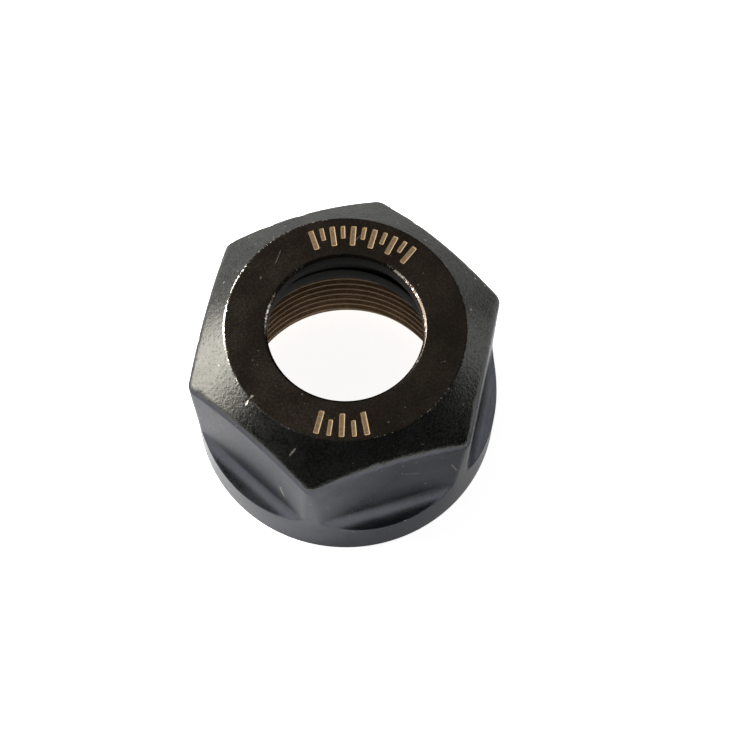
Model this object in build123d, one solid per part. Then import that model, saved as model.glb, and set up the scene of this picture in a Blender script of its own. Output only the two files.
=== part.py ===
"""Hex clamping nut for a spring collet: one machined steel piece.

Millimetres, +Z up.  The nut stands on its round flange: z = 0 is the threaded
end, z = HEIGHT is the front face with the round opening.  The thread axis is
the Z axis.  Two of the six flats face -Y and +Y.
"""
import os
from math import cos, radians, sin, sqrt, tan

from build123d import *

# ---------------------------------------------------------------- dimensions
HEIGHT = 12.7            # flange underside to front face
FLANGE_D = 19.0          # round flange
FLANGE_CHAMFER = 0.08    # break on the flange's lower outer edge

ACROSS_FLATS = 17.0      # spanner size
CORNER_D = 19.44         # turned diameter across the hexagon's corners, at the crown
CORNER_START_Z = 3.9     # the corners flare from the flange's diameter above this height
FLAT_END_Z = 4.9         # where each straight flat ends and its run-out starts
RUNOUT_R = 2.0           # concave run-out radius from flat to flange

FACE_D = 14.2            # flat front face, outer edge of the annulus
NOSE_ANGLE = 40.0        # nose cone, from the face plane down to the flats
EDGE_R = 0.6             # rounding where the nose cone meets the flats

OPENING_D = 9.2          # round opening in the front face
OPENING_BREAK = 0.14     # break on the opening's front edge
LAND_LEN = 1.0           # straight land behind the opening
SEAT_HALF_ANGLE = 30.0   # collet seat cone, to the axis
SEAT_D = 12.0            # large end of the seat, and the pocket behind it
POCKET_END_Z = 8.2       # pocket ends on the extractor lip

LIP_D = 11.2             # inside of the extractor lip
LIP_OFFSET = 0.35        # the lip is turned this far off the axis
LIP_DIRECTION = 103.0    # azimuth of that offset, degrees
LIP_END_Z = 7.0          # underside of the lip

RELIEF_D = 14.3          # thread relief groove, with a 45 degree lead to the thread
THREAD_END_Z = 5.75      # full thread reaches this height
THREAD_MAJOR_D = 14.0    # fine thread, 0.75 pitch
THREAD_MINOR_D = 13.188  # crest diameter of the nut thread, the plain bore here

# ------------------------------------------------------------ derived values
r_out = FLANGE_D / 2
r_corner = CORNER_D / 2
r_face = FACE_D / 2
r_open = OPENING_D / 2
r_seat = SEAT_D / 2
r_minor = THREAD_MINOR_D / 2
r_major = THREAD_MAJOR_D / 2
half_af = ACROSS_FLATS / 2

z_nose = HEIGHT - (r_corner - r_face) * tan(radians(NOSE_ANGLE))
z_land = HEIGHT - LAND_LEN
z_seat = z_land - (r_seat - r_open) / tan(radians(SEAT_HALF_ANGLE))
entry = r_major - r_minor


def ring_profile(points):
    """Closed (radius, height) outline turned once about the Z axis."""
    with BuildSketch(Plane.XZ) as sketch:
        with BuildLine():
            Polyline(*points, close=True)
        make_face()
    return revolve(sketch.sketch, Axis.Z, 360)


# Turned blank: flange, corner diameter and nose cone.  Its seam lies under the
# middle of a flat, away from the corners.
blank = Rot(0, 0, 30) * ring_profile([
    (0, 0),
    (r_out - FLANGE_CHAMFER, 0),
    (r_out, FLANGE_CHAMFER),
    (r_out, CORNER_START_Z),
    (r_corner, z_nose),
    (r_face, HEIGHT),
    (0, HEIGHT),
])

# Bore turned from both ends, without the eccentric lip.
bore = ring_profile([
    (0, -1),
    (r_major + 1, -1),
    (r_major, 0),
    (r_minor, entry),
    (r_minor, THREAD_END_Z),
    (RELIEF_D / 2, THREAD_END_Z + RELIEF_D / 2 - r_minor),
    (RELIEF_D / 2, LIP_END_Z),
    (0, LIP_END_Z),
])
pocket = ring_profile([
    (0, POCKET_END_Z),
    (r_seat, POCKET_END_Z),
    (r_seat, z_seat),
    (r_open, z_land),
    (r_open, HEIGHT - OPENING_BREAK),
    (r_open + OPENING_BREAK, HEIGHT),
    (r_open + OPENING_BREAK, HEIGHT + 1),
    (0, HEIGHT + 1),
])
lip_x = LIP_OFFSET * cos(radians(LIP_DIRECTION))
lip_y = LIP_OFFSET * sin(radians(LIP_DIRECTION))
lip_hole = Pos(lip_x, lip_y, (LIP_END_Z + POCKET_END_Z) / 2) * Cylinder(
    LIP_D / 2, POCKET_END_Z - LIP_END_Z + 1.0)

nut = blank - bore - pocket - lip_hole

# One milling cutter outline, (distance from the axis, height): the flat, then
# the concave run-out that leaves the flange standing.
arc_x = half_af + RUNOUT_R
a45 = radians(45)
with BuildSketch(Plane.XZ) as cutter:
    with BuildLine():
        Line((half_af, HEIGHT + 2), (half_af, FLAT_END_Z))
        ThreePointArc(
            (half_af, FLAT_END_Z),
            (arc_x - RUNOUT_R * cos(a45), FLAT_END_Z - RUNOUT_R * sin(a45)),
            (arc_x, FLAT_END_Z - RUNOUT_R),
        )
        Line((arc_x, FLAT_END_Z - RUNOUT_R), (arc_x + 3, FLAT_END_Z - RUNOUT_R))
        Line((arc_x + 3, FLAT_END_Z - RUNOUT_R), (arc_x + 3, HEIGHT + 2))
        Line((arc_x + 3, HEIGHT + 2), (half_af, HEIGHT + 2))
    make_face()
side_cut = extrude(cutter.sketch, amount=FLANGE_D, both=True)
for k in range(6):
    nut = nut - Rot(0, 0, 30 + 60 * k) * side_cut

# Round the crown of the hexagon, where the nose cone meets the six flats and
# the six corner strips between them.
crown = [
    e for e in nut.edges()
    if e.center().Z > z_nose - 0.3 and e.bounding_box().max.Z < HEIGHT - 0.5
    and (e.center().X ** 2 + e.center().Y ** 2) ** 0.5 > half_af - 0.5
    and e.bounding_box().size.Z < 1.5
]
print("crown edges", len(crown))
nut = fillet(crown, EDGE_R)

# ------------------------------------------------------------------- output
os.makedirs("parts", exist_ok=True)
export_step(nut, "parts/collet_nut.step")

box = nut.bounding_box()
runout_low = FLAT_END_Z - sqrt(RUNOUT_R ** 2 - (arc_x - r_out) ** 2)
print("solids", len(nut.solids()), "valid", nut.is_valid)
print("box", [round(v, 3) for v in (*box.min, *box.max)])
print("volume mm3", round(nut.volume, 2))
print("nose cone meets the corner diameter at z", round(z_nose, 3))
print("seat cone from z", round(z_land, 3), "to", round(z_seat, 3))
print("run-out meets the flange at z", round(runout_low, 3))
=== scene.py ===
"""Collet clamping nut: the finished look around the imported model.

The whole nut is one turned and milled steel piece, so it is one mesh here:
flange, run-outs, hexagon, nose cone, engraved front face, collet seat,
extractor lip, relief groove and the real helical thread.
"""

import math

import bmesh
import bpy
import numpy as np
from mathutils import Matrix, Vector
from mathutils.geometry import delaunay_2d_cdt


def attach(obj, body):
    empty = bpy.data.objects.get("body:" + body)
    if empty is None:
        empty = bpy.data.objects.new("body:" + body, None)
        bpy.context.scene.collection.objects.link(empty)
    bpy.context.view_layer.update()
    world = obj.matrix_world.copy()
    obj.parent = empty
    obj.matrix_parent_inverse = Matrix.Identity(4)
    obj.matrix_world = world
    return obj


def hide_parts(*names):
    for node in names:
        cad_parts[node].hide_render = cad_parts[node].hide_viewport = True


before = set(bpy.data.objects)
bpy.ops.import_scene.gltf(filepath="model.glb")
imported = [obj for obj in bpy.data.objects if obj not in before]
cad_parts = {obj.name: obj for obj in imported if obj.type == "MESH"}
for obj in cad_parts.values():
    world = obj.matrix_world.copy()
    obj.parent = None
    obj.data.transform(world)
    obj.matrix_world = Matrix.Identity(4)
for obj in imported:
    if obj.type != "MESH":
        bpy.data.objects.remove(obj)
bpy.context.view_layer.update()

MM = 0.001
RAD = math.pi / 180
# The photograph looks along a direction turned this much from the row's -Y.
TURN = -16.891


def turned(v):
    """A direction or point given in the camera's own azimuth, in the row frame."""
    c, s = math.cos(TURN * RAD), math.sin(TURN * RAD)
    return Vector((v[0] * c - v[1] * s, v[0] * s + v[1] * c, v[2]))


# ------------------------------------------------------------------- camera
cam_data = bpy.data.cameras.new("camera")
cam = bpy.data.objects.new("camera", cam_data)
bpy.context.scene.collection.objects.link(cam)
ahead = turned((0.0152538, 0.3841345, -0.9231511)).normalized()
right = turned((0.9998345, -0.0150154, 0.0102727))
right = (right - ahead * right.dot(ahead)).normalized()
up = right.cross(ahead)
place = turned((0.0303, -44.6762, 112.7103)) * MM
cam.matrix_world = Matrix((
    (right.x, up.x, -ahead.x, place.x),
    (right.y, up.y, -ahead.y, place.y),
    (right.z, up.z, -ahead.z, place.z),
    (0, 0, 0, 1),
))
cam_data.sensor_width = 36
cam_data.lens = 1874.29 / 750 * 36
cam_data.clip_start, cam_data.clip_end = 0.005, 20
bpy.context.scene.camera = cam

# --------------------------------------------------------- dimensions, in mm
HEIGHT = 12.7
R_OUT = 9.5
BASE_CHAMFER = 0.08
R_CORNER, Z_CORNER = 9.715, 3.9     # the corners flare from R_OUT above Z_CORNER
HALF_AF = 8.5
FLAT_END_Z = 4.9
RUNOUT_R = 2.0
ARC_X = HALF_AF + RUNOUT_R
R_FACE = 7.1
NOSE = math.tan(40 * RAD)           # fall of the nose cone per mm of radius
CONE_NORM = math.hypot(1, NOSE)
Z_NOSE = HEIGHT - (R_CORNER - R_FACE) * NOSE
R_OPEN = 4.6
RIM_BREAK = 0.14
Z_LAND = 11.7
R_SEAT = 6.0
Z_SEAT = Z_LAND - (R_SEAT - R_OPEN) / math.tan(30 * RAD)
Z_POCKET = 8.2
R_LIP, LIP_OFFSET, LIP_DIR = 5.6, 0.35, 103.0
Z_LIP = 7.0
R_RELIEF = 7.15
Z_THREAD = 5.75
PITCH = 0.75
R_MAJOR, R_MINOR = 7.0, 6.594
Z_LEAD = Z_THREAD + R_RELIEF - R_MINOR

# Rounding radii of the outer edges, and how far the run-out and base blends
# start from their edges.
ROUND_CROWN = 0.9
ROUND_CORNER = 0.55
SOFT_RUNOUT = 0.05
SOFT_FACE = 0.035
SOFT_BASE = 0.025


# ------------------------------------------------------------------- helpers
def lattice(seed):
    return np.random.default_rng(seed).random((32, 32, 32))


LATTICES = {}


def noise(p, size, seed):
    """Smooth value noise from -1 to 1 at points p (n, 3), with features of that size."""
    if seed not in LATTICES:
        LATTICES[seed] = lattice(seed)
    t = LATTICES[seed]
    q = np.asarray(p, float) / size + 1000.0
    i = np.floor(q).astype(int)
    f = q - i
    f = f * f * (3 - 2 * f)
    out = 0.0
    for a in (0, 1):
        for b in (0, 1):
            for c in (0, 1):
                w = (
                    (f[:, 0] if a else 1 - f[:, 0])
                    * (f[:, 1] if b else 1 - f[:, 1])
                    * (f[:, 2] if c else 1 - f[:, 2])
                )
                out = out + w * t[(i[:, 0] + a) % 32, (i[:, 1] + b) % 32, (i[:, 2] + c) % 32]
    return out * 2 - 1


def step(a, b, x):
    t = np.clip((x - a) / (b - a), 0, 1)
    return t * t * (3 - 2 * t)


def round_max(a, b, r):
    """The larger of two distances, with the corner between them rounded."""
    return np.minimum(-r, np.maximum(a, b)) + np.hypot(
        np.maximum(a + r, 0), np.maximum(b + r, 0)
    )


def flat_angle(th):
    """Angle to the middle of the nearest flat, in radians."""
    return np.mod(th, 60 * RAD) - 30 * RAD


def turned_r(z):
    """Radius of the turned blank: the flange, then the corners' slight flare."""
    return R_OUT + (R_CORNER - R_OUT) * np.clip((z - Z_CORNER) / (Z_NOSE - Z_CORNER), 0, 2)


def arc_max(a, b, cosg, radius):
    """The larger of two distances, with a true arc between surfaces whose normals meet at that angle."""
    sing = math.sqrt(1 - cosg * cosg)
    # position relative to the arc's centre, in the plane of the two normals
    u = a + radius
    v = (b + radius - (a + radius) * cosg) / sing
    on = (v > 0) & (u * sing - v * cosg > 0)
    return np.where(on, np.hypot(u, v) - radius, np.maximum(a, b))


def outside(p):
    """Signed distance-like value of the outer form, with all its edges rounded."""
    x, y, z = p[:, 0], p[:, 1], p[:, 2]
    r, th = np.hypot(x, y), np.arctan2(y, x)
    fa = flat_angle(th)
    xf = r * np.cos(fa)
    # the two flats next to each corner, joined by a rounded vertical edge
    near = arc_max(xf - HALF_AF, r * np.cos(60 * RAD - np.abs(fa)) - HALF_AF, 0.5, ROUND_CORNER)
    low = RUNOUT_R - np.hypot(xf - ARC_X, z - FLAT_END_Z)
    cut = np.where(z >= FLAT_END_Z, near, low)
    soft = SOFT_RUNOUT + 0.03 * step(4.1, 5.3, z)
    d = round_max(r - turned_r(z), cut, soft)
    cone = (z - HEIGHT + (r - R_FACE) * NOSE) / CONE_NORM
    d = arc_max(d, cone, NOSE / CONE_NORM, ROUND_CROWN)
    d = round_max(d, z - HEIGHT, SOFT_FACE)
    d = round_max(d, (r - z - (R_OUT - BASE_CHAMFER)) * math.sqrt(0.5), SOFT_BASE)
    return round_max(d, -z, SOFT_BASE)


def slope(p, h=2e-4):
    g = np.empty_like(p)
    for k in range(3):
        e = np.zeros(3)
        e[k] = h
        g[:, k] = (outside(p + e) - outside(p - e)) / (2 * h)
    return g


def settle(p, rounds=14):
    """Moves points onto the rounded outer form, and gives their normals."""
    for _ in range(rounds):
        g = slope(p)
        p = p - (outside(p) / np.maximum((g * g).sum(1), 1e-6))[:, None] * g
    g = slope(p)
    return p, g / np.linalg.norm(g, axis=1, keepdims=True)


# ------------------------------------------------------------------- columns
half = [0, 0.55, 1.0, 1.4, 1.8, 2.2, 2.6, 3.0, 3.35, 3.7, 4.1, 4.6, 5.2, 6.0, 6.9]
half += list(np.linspace(6.9, 30, 20)[1:])
sector = [-a for a in half[::-1][:-1]] + half[:-1]
ANGLES = np.sort(np.mod(np.array([60 * k + a for k in range(6) for a in sector]), 360)) * RAD
N = len(ANGLES)
DLT = np.abs(flat_angle(ANGLES))
COSD = np.cos(DLT)
R_CROWN = np.minimum(HALF_AF / COSD, R_CORNER)
Z_CROWN = HEIGHT - (R_CROWN - R_FACE) * NOSE
xf_out = R_OUT * COSD
Z_CRES = np.where(
    xf_out > HALF_AF,
    FLAT_END_Z - np.sqrt(np.maximum(RUNOUT_R ** 2 - (ARC_X - xf_out) ** 2, 0)),
    FLAT_END_Z,
)
rise = (Z_CRES - Z_CRES.min()) / (FLAT_END_Z - Z_CRES.min())
Z_RISE = FLAT_END_Z + 0.5 * rise ** 2


def side_r(z):
    """Radius of the unrounded side, run-out or flange at height z in each column."""
    x = np.where(
        z >= FLAT_END_Z,
        HALF_AF,
        ARC_X - np.sqrt(np.maximum(RUNOUT_R ** 2 - (z - FLAT_END_Z) ** 2, 0)),
    )
    return np.where(z < FLAT_END_Z - RUNOUT_R, R_OUT, np.minimum(x / COSD, turned_r(z)))


one = np.ones(N)
rows = []          # (radius, height) of each ring of the outer form, bottom to top
for r in (7.35, 7.9, 8.5, 9.0, 9.3, 9.38, 9.41):
    rows.append((r * one, 0 * one))
for t in (0.003, 0.02, 0.04, 0.06, 0.077):
    rows.append(((R_OUT - BASE_CHAMFER + t) * one, t * one))
for z in (0.095, 0.13, 0.25, 0.55):
    rows.append((R_OUT * one, z * one))
for f in (0.2, 0.4, 0.6, 0.78, 0.9):
    z = 0.55 + (Z_CRES - 0.2 - 0.55) * f
    rows.append((R_OUT * one, z))
for d in (0.2, 0.12, 0.06, 0.02):
    rows.append((R_OUT * one, Z_CRES - d))
for f in (0.008, 0.03, 0.065, 0.11, 0.17, 0.245, 0.33, 0.43, 0.54, 0.65, 0.76, 0.88, 1.0):
    z = Z_CRES + (Z_RISE - Z_CRES) * f
    rows.append((side_r(z), z))
crown_steps = (0.52, 0.42, 0.34, 0.26, 0.18, 0.11, 0.035)
for f in np.linspace(0, 1, 10)[1:]:
    z = Z_RISE + (Z_CROWN - 0.65 - Z_RISE) * f
    rows.append((side_r(z), z))
for d in crown_steps:
    rows.append((R_CROWN, Z_CROWN - d))
slant = (R_CROWN - R_FACE) * CONE_NORM
for d in crown_steps[::-1]:
    rows.append((R_CROWN - d / CONE_NORM, Z_CROWN + d * NOSE / CONE_NORM))
for f in np.linspace(0, 1, 12)[1:]:
    d = 0.52 + (slant - 0.14 - 0.52) * f
    rows.append((R_CROWN - d / CONE_NORM, Z_CROWN + d * NOSE / CONE_NORM))
for d in (0.09, 0.05, 0.02):
    rows.append(((R_FACE + d / CONE_NORM) * one, (HEIGHT - d * NOSE / CONE_NORM) * one))
for d in (0.015, 0.045, 0.085, 0.14):
    rows.append(((R_FACE - d) * one, HEIGHT * one))

n_out = len(rows)
rr = np.array([r for r, _ in rows])
zz = np.array([z for _, z in rows])
outer = np.stack([rr * np.cos(ANGLES), rr * np.sin(ANGLES), zz], -1).reshape(-1, 3)
outer, outer_n = settle(outer)

# Tiny dings along the crown of the hexagon and the face's edge, all inward.
col = np.tile(np.arange(N), n_out)
to_crown = np.hypot(rr.reshape(-1) - R_CROWN[col], zz.reshape(-1) - Z_CROWN[col])
to_edge = np.hypot(np.hypot(outer[:, 0], outer[:, 1]) - R_FACE, outer[:, 2] - HEIGHT)
ding = np.exp(-(to_crown / 0.5) ** 2) * np.clip(noise(outer, 0.42, 11) - 0.3, 0, 1) * 0.09
ding += np.exp(-(to_edge / 0.09) ** 2) * np.clip(noise(outer, 0.5, 12) - 0.25, 0, 1) * 0.03
outer -= outer_n * np.minimum(ding, 0.035)[:, None]

flat_rows = zz.reshape(-1) <= 0
outer[flat_rows, 2] = 0.0
outer[-N:, 2] = HEIGHT

# ------------------------------------------------------- inside, top to lip
lip_x, lip_y = LIP_OFFSET * math.cos(LIP_DIR * RAD), LIP_OFFSET * math.sin(LIP_DIR * RAD)
along = lip_x * np.cos(ANGLES) + lip_y * np.sin(ANGLES)
R_LIPS = along + np.sqrt(R_LIP ** 2 - LIP_OFFSET ** 2 + along ** 2)

corners = [
    (4.95 * one, HEIGHT * one, 0),
    ((R_OPEN + RIM_BREAK) * one, HEIGHT * one, 0.09),
    (R_OPEN * one, (HEIGHT - RIM_BREAK) * one, 0.09),
    (R_OPEN * one, Z_LAND * one, 0.06),
    (R_SEAT * one, Z_SEAT * one, 0.15),
    (R_SEAT * one, Z_POCKET * one, 0.08),
    (R_LIPS, Z_POCKET * one, 0.06),
    (R_LIPS, Z_LIP * one, 0.06),
    (R_RELIEF * one, Z_LIP * one, 0.12),
    (R_RELIEF * one, Z_LEAD * one, 0),
]


def rounded(corners, spacing=0.33):
    """Rings along a path of corners, each (radius, height, rounding), filleted column by column."""
    out = []
    pts = [np.stack([r, z], -1) for r, z, _ in corners]
    last = pts[0]
    out.append(last)
    for k in range(1, len(pts)):
        p = pts[k]
        back = pts[k - 1] - p
        lb = np.linalg.norm(back, axis=1, keepdims=True)
        ub = back / lb
        f = corners[k][2]
        if f and k < len(pts) - 1:
            fwd = pts[k + 1] - p
            lf = np.linalg.norm(fwd, axis=1, keepdims=True)
            uf = fwd / lf
            cosa = (ub * uf).sum(1, keepdims=True)
            ang = np.arccos(np.clip(cosa, -1, 1))
            reach = np.minimum(f / np.tan(ang / 2), 0.42 * np.minimum(lb, lf))
            rad = reach * np.tan(ang / 2)
            bis = (ub + uf) / np.linalg.norm(ub + uf, axis=1, keepdims=True)
            centre = p + bis * rad / np.sin(ang / 2)
            a, b = p + ub * reach, p + uf * reach
            run(out, last, a, spacing)
            va, vb = a - centre, b - centre
            total = np.pi - ang
            for t in (1 / 3, 2 / 3, 1.0):
                w = (np.sin((1 - t) * total) * va + np.sin(t * total) * vb) / np.sin(total)
                out.append(centre + w)
            last = b
        else:
            run(out, last, p, spacing)
            last = p
    return out


def run(out, a, b, spacing):
    """Adds rings from a to b, without a and with b."""
    n = max(1, int(round(float(np.linalg.norm(b - a, axis=1).mean()) / spacing)))
    for t in np.linspace(0, 1, n + 1)[1:]:
        out.append(a + (b - a) * t)


inner_rows = rounded(corners)
ir = np.array([p[:, 0] for p in inner_rows])
iz = np.array([p[:, 1] for p in inner_rows])
inner = np.stack([ir * np.cos(ANGLES), ir * np.sin(ANGLES), iz], -1).reshape(-1, 3)
n_in = len(inner_rows)

# --------------------------------------------------------------- the thread
# Rings that climb one pitch each turn, cut off at the mouth and at the relief.
Z_LO = 0.04
per_pitch = [
    (-0.105, 0.0), (0.105, 0.0), (0.145, 0.064), (0.42, 0.944),
    (0.5, 1.0), (0.58, 0.944), (0.855, 0.064),
]
turns = int(math.ceil((Z_LEAD - Z_LO) / PITCH)) + 2
us = np.array([k + u for k in range(-1, turns) for u, _ in per_pitch])
depth = np.array([d for _ in range(-1, turns) for _, d in per_pitch])
M = len(us)
th_ext = np.append(ANGLES, 2 * math.pi + ANGLES[0])
tz_raw = PITCH * (us[:, None] + th_ext[None, :] / (2 * math.pi))
tz = np.clip(tz_raw, Z_LO, Z_LEAD)
tr = R_MINOR + (R_MAJOR - R_MINOR) * depth[:, None] * np.ones_like(tz)
tr = np.maximum(tr, R_MAJOR + Z_LO - tz)
tr = np.maximum(tr, R_MINOR + tz - Z_THREAD)
tr = np.where(tz <= Z_LO, R_MAJOR, tr)
tr = np.where(tz >= Z_LEAD, R_RELIEF, tr)

# ------------------------------------------------ front face with its marks
# A graduated scale of plain radial marks, etched a few hundredths deep.
MARK_DEPTH = 0.03
marks = []         # (azimuth in the row frame, inner radius, outer radius, half width)
for k, az in enumerate(np.linspace(108, 51, 11)):
    marks.append((az + TURN, 5.32 if k % 2 == 0 else 5.78, 6.62, 0.17 if k % 2 == 0 else 0.14))
for k, az in enumerate(np.linspace(-105, -80, 5)):
    marks.append((az + TURN, 5.42 if k % 2 == 0 else 5.85, 6.86, 0.17 if k % 2 == 0 else 0.14))


def mark_outline(mark, grow, n=5):
    az, r0, r1, w = mark
    w, r0, r1 = w + grow, r0 - grow, r1 + grow
    corner = 0.07 + max(grow, -0.05)
    pts = []
    for cx, cy, a0 in (
        (r1 - corner, w - corner, 0), (r0 + corner, w - corner, 90),
        (r0 + corner, -(w - corner), 180), (r1 - corner, -(w - corner), 270),
    ):
        for t in np.linspace(0, 90, n):
            a = (a0 + t) * RAD
            pts.append((cx + corner * math.cos(a), cy + corner * math.sin(a)))
    # extra points along the two long sides
    out = []
    for i, p in enumerate(pts):
        out.append(p)
        q = pts[(i + 1) % len(pts)]
        gap = math.dist(p, q)
        extra = int(gap / 0.28)
        for e in range(1, extra + 1):
            t = e / (extra + 1)
            out.append((p[0] + (q[0] - p[0]) * t, p[1] + (q[1] - p[1]) * t))
    c, s = math.cos(az * RAD), math.sin(az * RAD)
    return [(x * c - y * s, x * s + y * c) for x, y in out]


ring_a = outer[-N:, :2]
ring_b = inner[:N, :2]
pts2, kind = [], []          # kind: 0 face, 1 mark's rim, 2 edge of its floor, 3 its middle
edges2 = []


def add_loop(points, k):
    start = len(pts2)
    pts2.extend((float(x), float(y)) for x, y in points)
    kind.extend([k] * len(points))
    n = len(points)
    edges2.extend((start + i, start + (i + 1) % n) for i in range(n))


add_loop(ring_a, 0)
add_loop(ring_b, 0)
for m in marks:
    add_loop(mark_outline(m, 0.0), 1)
    add_loop(mark_outline(m, -0.028), 2)
    add_loop(mark_outline(m, -0.085), 3)


def near_mark(x, y, gap):
    for az, r0, r1, w in marks:
        c, s = math.cos(az * RAD), math.sin(az * RAD)
        u, v = x * c + y * s, -x * s + y * c
        if r0 - gap < u < r1 + gap and abs(v) < w + gap:
            return True
    return False


for r, n in ((6.9, 264), (6.7, 200), (6.42, 168), (6.1, 150), (5.75, 144), (5.45, 150), (5.2, 180), (5.04, 264)):
    for i in range(n):
        a = 2 * math.pi * (i + 0.37) / n
        x, y = r * math.cos(a), r * math.sin(a)
        if not near_mark(x, y, 0.09):
            pts2.append((x, y))
            kind.append(0)

cdt = delaunay_2d_cdt([Vector(p) for p in pts2], edges2, [], 0, 1e-7, True)
cv, cf, orig = cdt[0], cdt[2], cdt[3]
ckind = [kind[o[0]] if o else 0 for o in orig]
cid = [o[0] if o else -1 for o in orig]

# ------------------------------------------------------------ one whole mesh
verts = []
verts.append(outer)
base_inner = n_out * N
verts.append(inner)
thread_start = (n_out + n_in) * N

faces = []
# face_zone: 0 outer steel, 1 etched mark, 2 bore and thread
bore_row = next(i for i in range(n_in) if ir[i].mean() < R_OPEN + 0.004)


def quad_rings(a, b):
    """Faces between two rings whose vertices start at index a and b."""
    for j in range(N):
        k = (j + 1) % N
        faces.append((a + j, a + k, b + k, b + j))


for i in range(n_out - 1):
    quad_rings(i * N, (i + 1) * N)
face_zone = [0] * len(faces)
for i in range(n_in - 1):
    quad_rings(base_inner + i * N, base_inner + (i + 1) * N)
    face_zone += [2 if i >= bore_row else 0] * N

# the face's own triangles
extra, extra_kind = [], []
index = {}
for i, (p, o) in enumerate(zip(cv, cid)):
    if 0 <= o < N:
        index[i] = (n_out - 1) * N + o
    elif N <= o < 2 * N:
        index[i] = base_inner + (o - N)
    else:
        index[i] = thread_start + len(extra)
        extra.append((p[0], p[1], HEIGHT - (MARK_DEPTH if ckind[i] >= 2 else 0.0)))
        extra_kind.append(ckind[i])
ring_b_ids = {i for i, o in enumerate(cid) if N <= o < 2 * N}
for f in cf:
    if all(i in ring_b_ids for i in f):
        continue
    kinds = [ckind[i] for i in f]
    x = sum(cv[i][0] for i in f) / 3
    y = sum(cv[i][1] for i in f) / 3
    faces.append(tuple(index[i] for i in f))
    face_zone.append(1 if min(kinds) >= 1 and near_mark(x, y, 0.0) else 0)
verts.append(np.array(extra, float).reshape(-1, 3))
thread_base = thread_start + len(extra)

# thread vertices, welded where the rings are cut off
top_ring = base_inner + (n_in - 1) * N
tid = np.full((M, N + 1), -1, int)
tverts = []
bottom_ids = [None] * N
for j in range(N):
    for k in range(M):
        z = tz[k, j]
        if z >= Z_LEAD - 0.012:
            tid[k, j] = top_ring + j
        elif z <= Z_LO + 0.012:
            if bottom_ids[j] is None:
                bottom_ids[j] = thread_base + len(tverts)
                tverts.append((R_MAJOR, ANGLES[j], Z_LO))
            tid[k, j] = bottom_ids[j]
        else:
            tid[k, j] = thread_base + len(tverts)
            tverts.append((tr[k, j], ANGLES[j], z))
P7 = len(per_pitch)
for k in range(M):
    tid[k, N] = tid[min(k + P7, M - 1), 0]
for j in range(N):
    for k in range(M - 1):
        ring = [tid[k, j], tid[k + 1, j], tid[k + 1, j + 1], tid[k, j + 1]]
        out = []
        for v in ring:
            if v not in out:
                out.append(v)
        if len(out) >= 3:
            faces.append(tuple(int(v) for v in out))
            face_zone.append(2)
tv = np.array(tverts)
verts.append(np.stack([tv[:, 0] * np.cos(tv[:, 1]), tv[:, 0] * np.sin(tv[:, 1]), tv[:, 2]], -1))

# the mouth's small rounding joins the thread to the underside
mouth = []
for r, z in ((R_MAJOR + 0.014, 0.014), (R_MAJOR + 0.05, 0.0), (R_MAJOR + 0.12, 0.0)):
    mouth.append(np.stack([r * np.cos(ANGLES), r * np.sin(ANGLES), z * one], -1))
mouth_base = thread_base + len(tverts)
verts.append(np.concatenate(mouth))
for j in range(N):
    k = (j + 1) % N
    chain = [
        (bottom_ids[j], bottom_ids[k]),
        (mouth_base + j, mouth_base + k),
        (mouth_base + N + j, mouth_base + N + k),
        (mouth_base + 2 * N + j, mouth_base + 2 * N + k),
        (j, k),
    ]
    for (a, b), (c, d) in zip(chain, chain[1:]):
        faces.append((a, b, d, c))
        face_zone.append(0)

co = np.concatenate(verts)
mesh = bpy.data.meshes.new("nut_body")
mesh.from_pydata((co * MM).tolist(), [], faces)
mesh.polygons.foreach_set("use_smooth", [True] * len(mesh.polygons))
mesh.polygons.foreach_set("material_index", face_zone)

# Where each finish lies, and how much bare steel each place shows (rubbed edges plus a
# painted highlight on the lamp-facing sides), as smooth masks on the vertices.
azimuth = np.mod(np.degrees(np.arctan2(co[:, 1], co[:, 0])) - TURN + 180, 360) - 180
radius = np.hypot(co[:, 0], co[:, 1])
n_outer = n_out * N


def window(a, b, soft=9.0):
    """1 between two azimuths (in the camera's own azimuth), fading over a few degrees."""
    mid, halfw = (a + b) / 2, (b - a) / 2
    off = np.abs(np.mod(azimuth - mid + 180, 360) - 180)
    return 1 - step(halfw - soft, halfw + soft, off)


cone_mask = np.zeros(len(co))
nz = outer_n[:, 2]
crown_up = outer[:, 2] > FLAT_END_Z + 2
cone_mask[:n_outer] = step(0.30, 0.62, nz) * (1 - step(0.86, 0.97, nz)) * crown_up
front_mask = np.zeros(len(co))
front_mask[:n_outer] = step(0.86, 0.97, nz) * crown_up
front_mask[n_outer:] = 1.0
thread_mask = (co[:, 2] < Z_LEAD + 0.05) * 1.0

# Bare-steel mask: every edge gets some real wear; the extra amounts inside the azimuth windows are painted
# highlight, brightening the face edge, the bore's rim and the crown on the sides that face the lamps.
wear_and_highlight = np.zeros(len(co))
edge = np.exp(-(np.hypot(radius - R_FACE - 0.02, co[:, 2] - HEIGHT + 0.01) / 0.075) ** 2)
wear_and_highlight += edge * (0.36 + 0.42 * window(145, 205) + 0.2 * window(100, 145) + 0.1 * window(-60, 20))
rim = np.exp(-((radius - R_OPEN - 0.07) / 0.085) ** 2) * step(HEIGHT - 0.3, HEIGHT - 0.1, co[:, 2])
wear_and_highlight += rim * (0.34 + 0.38 * window(125, 190) + 0.42 * window(-35, 55))
crown_line = np.zeros(len(co))
crown_line[:n_outer] = np.exp(-(to_crown / 0.30) ** 2)
wear_and_highlight += crown_line * (0.08 + 0.06 * window(-38, 7) + 0.08 * window(150, 200))
corner_line = np.zeros(len(co))
corner_line[:n_outer] = np.exp(-((DLT[col] - 30 * RAD) * radius[:n_outer] / 0.16) ** 2) * (nz < 0.5) * (co[:n_outer, 2] > 3.5)
wear_and_highlight += corner_line * 0.34
ledge = np.zeros(len(co))
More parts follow.
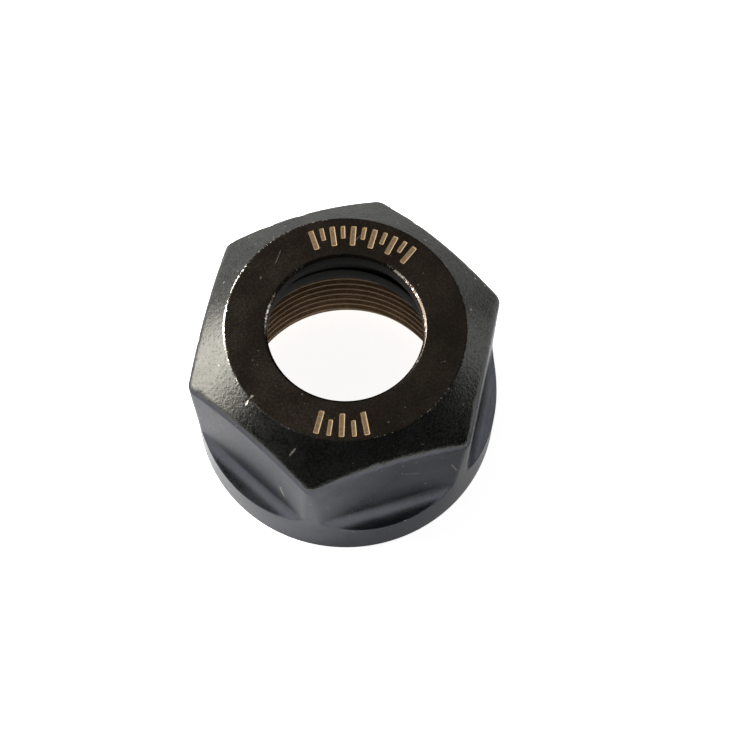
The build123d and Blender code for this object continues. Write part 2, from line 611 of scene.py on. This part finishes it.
ledge[:n_outer] = np.exp(-((zz.reshape(-1) - Z_CRES[col]) / 0.05) ** 2) * (radius[:n_outer] > R_OUT - 0.12)
wear_and_highlight += ledge * 0.3
wear_and_highlight += np.exp(-((radius - R_OUT) / 0.06) ** 2) * np.exp(-((co[:, 2] - 0.06) / 0.07) ** 2) * 0.4
wear_and_highlight *= 0.72 + 0.5 * noise(co, 0.8, 5)

mark_edge = np.zeros(len(co))
mark_edge[thread_start:thread_base] = [k in (1, 2) for k in extra_kind]

for name, values in (("cone", cone_mask), ("front", front_mask), ("thread", thread_mask),
                     ("wear_and_highlight", wear_and_highlight), ("mark_edge", mark_edge)):
    layer = mesh.attributes.new(name, "FLOAT", "POINT")
    layer.data.foreach_set("value", np.clip(values, 0, 1).astype(np.float32))
mesh.update()
print("columns", N, "outer rings", n_out, "inner rings", n_in, "verts", len(co),
      "triangles", sum(len(f) - 2 for f in faces))
nut = bpy.data.objects.new("nut_body", mesh)
bpy.context.scene.collection.objects.link(nut)

bm = bmesh.new()
bm.from_mesh(mesh)
loose = [v for v in bm.verts if not v.link_faces]
bmesh.ops.delete(bm, geom=loose, context="VERTS")
bmesh.ops.recalc_face_normals(bm, faces=bm.faces)
open_edges = sum(1 for e in bm.edges if len(e.link_faces) != 2)
for e in bm.edges:          # the etched marks keep crisp edges
    if any(f.material_index == 1 for f in e.link_faces) and e.calc_face_angle(0) > 0.3:
        e.smooth = False
volume = bm.calc_volume(signed=True) * 1e9
print("loose", len(loose), "open edges", open_edges, "volume mm3", round(volume, 2))
bm.to_mesh(mesh)
bm.free()

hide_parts("collet_nut")
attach(nut, "root")

# ------------------------------------------------------------------ material
class Graph:
    """Short names for building one material's nodes.  Positions are in mm."""

    def __init__(self, name):
        self.mat = bpy.data.materials.new(name)
        self.mat.use_nodes = True
        self.tree = self.mat.node_tree
        self.shader = self.tree.nodes["Principled BSDF"]
        coords = self.tree.nodes.new("ShaderNodeTexCoord")
        self.p = self.vec("SCALE", coords.outputs["Object"], scale=1000.0)

    def link(self, value, socket):
        if isinstance(value, bpy.types.NodeSocket):
            self.tree.links.new(value, socket)
        else:
            socket.default_value = value

    def math(self, op, a, b=0.0, clamp=False):
        n = self.tree.nodes.new("ShaderNodeMath")
        n.operation, n.use_clamp = op, clamp
        self.link(a, n.inputs[0])
        self.link(b, n.inputs[1])
        return n.outputs[0]

    def vec(self, op, a, b=(0, 0, 0), scale=None):
        n = self.tree.nodes.new("ShaderNodeVectorMath")
        n.operation = op
        self.link(a, n.inputs[0])
        self.link(b, n.inputs[1])
        if scale is not None:
            self.link(scale, n.inputs["Scale"])
        return n.outputs["Value"] if op in ("LENGTH", "DOT_PRODUCT") else n.outputs[0]

    def noise(self, p, scale, detail=2.0, rough=0.5):
        n = self.tree.nodes.new("ShaderNodeTexNoise")
        self.link(p, n.inputs["Vector"])
        n.inputs["Scale"].default_value = scale
        n.inputs["Detail"].default_value = detail
        n.inputs["Roughness"].default_value = rough
        return n.outputs[0]

    def ramp(self, x, lo, hi, out_lo=0.0, out_hi=1.0):
        n = self.tree.nodes.new("ShaderNodeMapRange")
        n.interpolation_type = "SMOOTHSTEP"
        self.link(x, n.inputs["Value"])
        for key, v in (("From Min", lo), ("From Max", hi), ("To Min", out_lo), ("To Max", out_hi)):
            n.inputs[key].default_value = v
        return n.outputs["Result"]

    def mask(self, name):
        n = self.tree.nodes.new("ShaderNodeAttribute")
        n.attribute_name = name
        return n.outputs["Fac"]

    def mix(self, fac, a, b, kind="MIX"):
        n = self.tree.nodes.new("ShaderNodeMix")
        n.data_type, n.blend_type = "RGBA", kind
        self.link(fac, n.inputs[0])
        for socket, v in ((n.inputs[6], a), (n.inputs[7], b)):
            self.link(v + (1,) if isinstance(v, tuple) else v, socket)
        return n.outputs[2]

    def blend(self, fac, a, b):
        return self.math("ADD", self.math("MULTIPLY", self.math("SUBTRACT", 1.0, fac), a),
                         self.math("MULTIPLY", fac, b))

    def xyz(self, p):
        n = self.tree.nodes.new("ShaderNodeSeparateXYZ")
        self.link(p, n.inputs[0])
        return n.outputs

    def join(self, x, y, z):
        n = self.tree.nodes.new("ShaderNodeCombineXYZ")
        for v, socket in zip((x, y, z), n.inputs):
            self.link(v, socket)
        return n.outputs[0]

    def streak(self, a, b, width):
        """1 on the line from a to b, falling to 0 at that distance from it."""
        a, b = Vector(a), Vector(b)
        ab = b - a
        rel = self.vec("SUBTRACT", self.p, tuple(a))
        t = self.math("DIVIDE", self.vec("DOT_PRODUCT", rel, tuple(ab)), ab.length_squared, clamp=True)
        gap = self.vec("LENGTH", self.vec("SUBTRACT", rel, self.vec("SCALE", tuple(ab), scale=t)))
        return self.ramp(gap, width, width * 0.45)

    def bump(self, height, strength=1.0):
        n = self.tree.nodes.new("ShaderNodeBump")
        n.inputs["Strength"].default_value = strength
        n.inputs["Distance"].default_value = 0.001
        self.link(height, n.inputs["Height"])
        self.link(n.outputs[0], self.shader.inputs["Normal"])


# Outer steel: black oxide.  The flats are smooth and cool, the nose cone is
# blasted and pitted, and the front face has fine turned rings.
g = Graph("black_oxide_steel")
cone, front, wear_and_highlight_in = g.mask("cone"), g.mask("front"), g.mask("wear_and_highlight")
cloud = g.noise(g.p, 0.42, 4.0, 0.55)
fine = g.noise(g.p, 7.0, 3.0, 0.6)
pits = g.noise(g.p, 5.2, 3.0, 0.62)
px = g.xyz(g.p)
rad = g.vec("LENGTH", g.join(px[0], px[1], 0.0))
rings = g.noise(g.join(g.math("MULTIPLY", rad, 15.0), g.math("MULTIPLY", px[0], 0.16),
                       g.math("MULTIPLY", px[1], 0.16)), 1.0, 2.0, 0.6)
drawn = g.noise(g.join(g.math("MULTIPLY", px[0], 0.5), g.math("MULTIPLY", px[1], 0.5),
                       g.math("MULTIPLY", px[2], 6.0)), 1.0, 2.0, 0.55)
tone = g.mix(cone, (0.040, 0.0415, 0.048), (0.041, 0.041, 0.039))
tone = g.mix(front, tone, (0.044, 0.036, 0.028))
shade = g.ramp(cloud, 0.30, 0.70, 0.87, 1.13)
shade = g.math("MULTIPLY", shade, g.ramp(fine, 0.25, 0.75, 0.88, 1.12))
shade = g.math("MULTIPLY", shade, g.math("SUBTRACT", 1.0, g.math(
    "MULTIPLY", cone, g.ramp(pits, 0.44, 0.30, 0.0, 0.45))))
tone = g.mix(1.0, tone, g.join(shade, shade, shade), "MULTIPLY")
# Bare steel where edges are rubbed, on stray specks and in a few nicks; on the lamp-facing sides of the edges
# the same bare-steel colour is a painted highlight.
rub_and_highlight = g.math("ADD", wear_and_highlight_in, g.math("MULTIPLY", g.math("SUBTRACT", fine, 0.5), 1.5))
rub_and_highlight = g.ramp(rub_and_highlight, 0.40, 0.72)
rub_and_highlight = g.math("MULTIPLY", rub_and_highlight, g.ramp(wear_and_highlight_in, 0.04, 0.22))
specks = g.ramp(g.noise(g.p, 3.2, 1.0, 0.4), 0.775, 0.80)
rub_and_highlight = g.math("MAXIMUM", rub_and_highlight, g.math("MULTIPLY", specks, 0.35))
for a, b_, w, k in (
    ((-5.309, -6.304, 11.741), (-4.953, -6.146, 12.034), 0.075, 0.9),
    ((-6.113, -6.411, 7.162), (-5.976, -6.649, 6.053), 0.06, 0.9),
    ((-6.873, -2.798, 12.429), (-6.422, -2.534, 12.698), 0.09, 0.9),
    ((6.95, 1.9, 12.66), (6.75, 2.6, 12.66), 0.05, 0.7),
    ((2.1, 5.1, 12.7), (2.9, 5.6, 12.7), 0.035, 0.4),
    ((-2.2, 5.9, 12.7), (-2.7, 5.2, 12.7), 0.03, 0.35),
    ((3.9, -8.5, 8.2), (4.3, -8.5, 6.9), 0.035, 0.4),
    ((1.0, -8.5, 9.0), (1.9, -8.5, 8.4), 0.03, 0.3),
    ((-7.6, 4.0, 7.9), (-7.3, 4.5, 7.0), 0.04, 0.4),
):
    rub_and_highlight = g.math("MAXIMUM", rub_and_highlight, g.math("MULTIPLY", g.streak(a, b_, w), k))
# Painted shadow: a short near-black stroke low on the front corner, standing for the shade under the corner's
# small step just above the flange.
painted_step_shadow = g.streak((-4.62, -8.46, 4.32), (-4.50, -8.44, 4.10), 0.07)
tone = g.mix(rub_and_highlight, tone, (0.42, 0.39, 0.35))
tone = g.mix(painted_step_shadow, tone, (0.012, 0.012, 0.012))
g.link(tone, g.shader.inputs["Base Color"])
rough = g.blend(cone, 0.32, 0.29)
rough = g.blend(front, rough, 0.25)
rough = g.math("ADD", rough, g.math("MULTIPLY", g.math("SUBTRACT", fine, 0.5), 0.22))
rough = g.math("ADD", rough, g.math("MULTIPLY", g.math("SUBTRACT", cloud, 0.5), 0.16))
g.link(g.blend(rub_and_highlight, rough, 0.34), g.shader.inputs["Roughness"])
g.shader.inputs["Metallic"].default_value = 1.0
g.shader.inputs["Specular Tint"].default_value = (0.5, 0.5, 0.5, 1)
height = g.math("MULTIPLY", g.math("MULTIPLY", cone, pits), 0.029)
height = g.math("ADD", height, g.math("MULTIPLY", g.math("MULTIPLY", front, rings), 0.0040))
side = g.math("SUBTRACT", 1.0, g.math("MAXIMUM", cone, front))
height = g.math("ADD", height, g.math("MULTIPLY", g.math("MULTIPLY", side, drawn), 0.0024))
height = g.math("ADD", height, g.math("MULTIPLY", fine, 0.0022))
height = g.math("SUBTRACT", height, g.math("MULTIPLY", rub_and_highlight, 0.004))
g.bump(height)
mesh.materials.append(g.mat)

# Etched marks: matt tan, with slightly uneven colour from the laser's passes.
g = Graph("laser_mark")
passes = g.noise(g.p, 9.0, 2.0, 0.6)
cloud = g.noise(g.p, 1.3, 2.0, 0.5)
tone = g.mix(g.ramp(passes, 0.35, 0.65), (0.050, 0.033, 0.017), (0.105, 0.068, 0.034))
tone = g.mix(g.mask("mark_edge"), tone, (0.25, 0.165, 0.085))
tone = g.mix(g.ramp(cloud, 0.45, 0.75, 0.0, 0.4), tone, (0.10, 0.068, 0.038))
g.link(tone, g.shader.inputs["Base Color"])
g.link(g.ramp(passes, 0.2, 0.8, 0.75, 0.55), g.shader.inputs["Roughness"])
g.shader.inputs["Specular IOR Level"].default_value = 0.2
g.bump(g.math("MULTIPLY", passes, 0.005))
mesh.materials.append(g.mat)

# Bore and thread: a duller, oily oxide, browner where the thread was cut.
g = Graph("bore_oxide")
thread = g.mask("thread")
cloud = g.noise(g.p, 0.6, 3.0, 0.55)
fine = g.noise(g.p, 8.0, 2.0, 0.6)
pz = g.xyz(g.p)
turned_lines = g.noise(g.join(g.math("MULTIPLY", pz[0], 0.2), g.math("MULTIPLY", pz[1], 0.2),
                              g.math("MULTIPLY", pz[2], 9.0)), 1.0, 2.0, 0.5)
tone = g.mix(thread, (0.0045, 0.004, 0.0035), (0.27, 0.19, 0.115))
tone = g.mix(g.math("MULTIPLY", thread, g.ramp(cloud, 0.35, 0.7, 0.0, 0.5)), tone, (0.15, 0.105, 0.07))
shade = g.ramp(fine, 0.25, 0.75, 0.8, 1.2)
tone = g.mix(1.0, tone, g.join(shade, shade, shade), "MULTIPLY")
g.link(tone, g.shader.inputs["Base Color"])
g.link(g.ramp(fine, 0.2, 0.8, 0.55, 0.70), g.shader.inputs["Roughness"])
g.shader.inputs["Specular IOR Level"].default_value = 0.06
g.bump(g.math("ADD", g.math("MULTIPLY", turned_lines, 0.006), g.math("MULTIPLY", fine, 0.003)))
mesh.materials.append(g.mat)

# --------------------------------------------------------- floor and lights
floor_mesh = bpy.data.meshes.new("floor")
s = 3.0
floor_mesh.from_pydata([(-s, -s, -2e-5), (s, -s, -2e-5), (s, s, -2e-5), (-s, s, -2e-5)], [], [(0, 1, 2, 3)])
floor = bpy.data.objects.new("floor", floor_mesh)
bpy.context.scene.collection.objects.link(floor)
pale = bpy.data.materials.new("pale_floor")
pale.use_nodes = True
fb = pale.node_tree.nodes["Principled BSDF"]
fb.inputs["Base Color"].default_value = (0.85, 0.85, 0.85, 1)
fb.inputs["Roughness"].default_value = 0.9
fb.inputs["Specular IOR Level"].default_value = 0.0
fb.inputs["Emission Color"].default_value = (1, 1, 1, 1)
fb.inputs["Emission Strength"].default_value = 0.9
floor_mesh.materials.append(pale)

world = bpy.data.worlds.new("studio")
bpy.context.scene.world = world
world.use_nodes = True
world.node_tree.nodes["Background"].inputs["Color"].default_value = (0.97, 0.98, 1.0, 1)
world.node_tree.nodes["Background"].inputs["Strength"].default_value = 0.09


def soft_light(name, azimuth, elevation, distance, width, height, radiance, colour=(1, 1, 1)):
    """An area light in the camera's azimuth (0 is its right, 90 is away from it), aimed at the nut."""
    a, e = azimuth * RAD, elevation * RAD
    d = turned((math.cos(a) * math.cos(e), math.sin(a) * math.cos(e), math.sin(e)))
    data = bpy.data.lights.new(name, "AREA")
    data.shape = "RECTANGLE"
    data.size, data.size_y = width, height
    data.energy = radiance * math.pi * width * height
    data.color = colour
    light = bpy.data.objects.new(name, data)
    bpy.context.scene.collection.objects.link(light)
    light.location = Vector((0, 0, 0.006)) + d * distance
    light.rotation_mode = "QUATERNION"
    light.rotation_quaternion = d.to_track_quat("Z", "Y")
    light.visible_camera = False
    return light


soft_light("key_left", 170, 12, 0.40, 0.28, 0.15, 19.0, (1.0, 0.96, 0.88))
soft_light("high_left", 150, 40, 0.50, 0.20, 0.20, 60.0)
soft_light("back_top", 88, 67, 0.60, 0.60, 0.60, 0.18, (1.0, 0.9, 0.8))
soft_light("side_right", 14, 12, 0.45, 0.22, 0.12, 3.2)

bpy.context.scene.view_settings.view_transform = "Standard"
bpy.context.scene.view_settings.look = "None"

bpy.context.view_layer.update()
